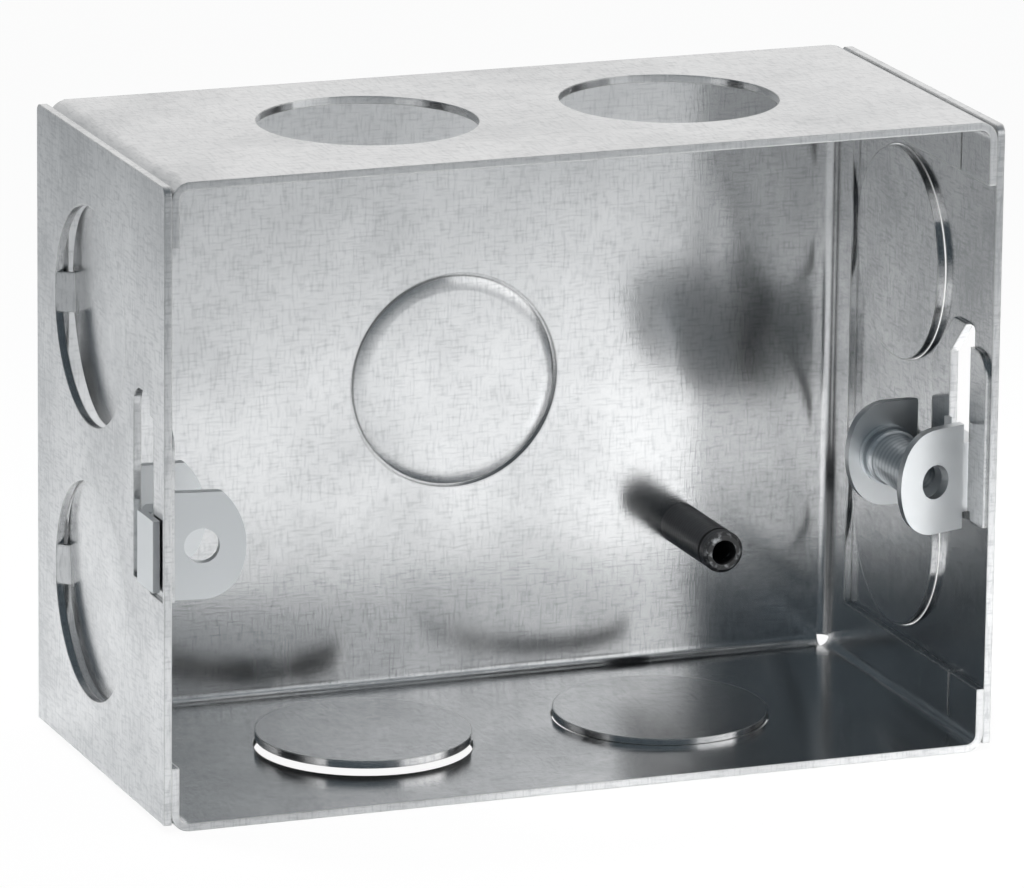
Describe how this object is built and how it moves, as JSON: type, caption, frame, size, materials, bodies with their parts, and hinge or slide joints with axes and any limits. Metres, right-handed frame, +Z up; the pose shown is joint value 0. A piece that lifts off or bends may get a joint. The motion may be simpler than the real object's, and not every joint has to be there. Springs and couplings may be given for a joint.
{
  "type": "metal back box",
  "caption": "Folded galvanised steel back box, open at the front, with round knock-outs, sliding fixing lugs in slotted end plates and an earth post.",
  "frame": {"origin": "middle of the footprint, on the underside that the box stands on", "axes": "X along the width, +Z up, the open front faces -Y and the back faces +Y"},
  "size_m": [0.1012, 0.0454, 0.074],
  "materials": {
    "galvanised_sheet": "hot dip zinc coat, satin, faint spangle",
    "zinc_plated_strip": "bright zinc plate",
    "zinc_plated_turned_steel": "turned, zinc plate",
    "blackened_steel": "black, satin"
  },
  "bodies": {
    "box": {"tray": "galvanised_sheet", "left_side_plate": "galvanised_sheet", "right_side_plate": "galvanised_sheet", "earth_post": "blackened_steel"},
    "left_fixing": {"left_lug": "zinc_plated_strip"},
    "right_fixing": {"right_lug": "zinc_plated_strip", "right_lug_sleeve": "zinc_plated_turned_steel"}
  },
  "joints": [
    {"name": "left_lug_slide", "type": "slide", "parent": "box", "child": "left_fixing", "axis": [0, 0, 1], "range_m": [0, 0.0104]},
    {"name": "right_lug_slide", "type": "slide", "parent": "box", "child": "right_fixing", "axis": [0, 0, 1], "range_m": [0, 0.0104]}
  ]
}
